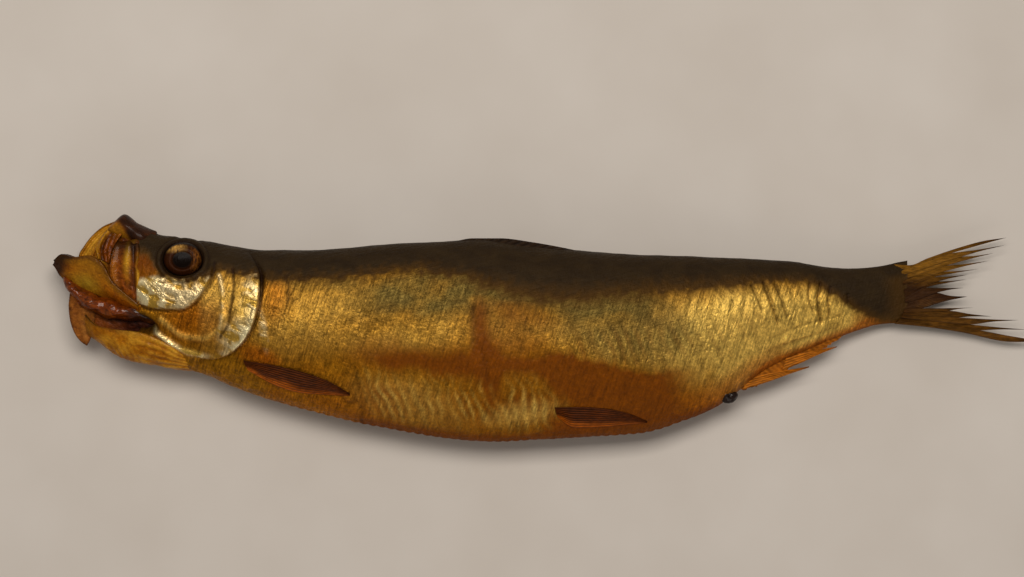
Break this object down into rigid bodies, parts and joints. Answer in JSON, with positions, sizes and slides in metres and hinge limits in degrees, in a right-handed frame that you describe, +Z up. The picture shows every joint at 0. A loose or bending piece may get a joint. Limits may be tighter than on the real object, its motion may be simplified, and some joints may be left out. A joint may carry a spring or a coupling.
{
  "type": "smoked herring",
  "caption": "Whole smoked herring lying on its right side, jaws agape, with shut gill covers, folded fins and a frayed forked tail.",
  "frame": {"origin": "bottom centre of the fish's box, on the surface that it lies on", "axes": "+X from head to tail, +Y from belly to back, +Z up through the fish's left flank"},
  "size_m": [0.296, 0.0682, 0.026],
  "materials": {
    "skin": "dry smoked fish skin: brassy gold flank with scale pattern, near-black back, red-brown fins and mouth",
    "eye": "dark glossy eyeball with a bronze iris"
  },
  "bodies": {
    "root": {"smoked_fish": "skin", "eye_left": "eye", "eye_right": "eye"}
  },
  "joints": []
}
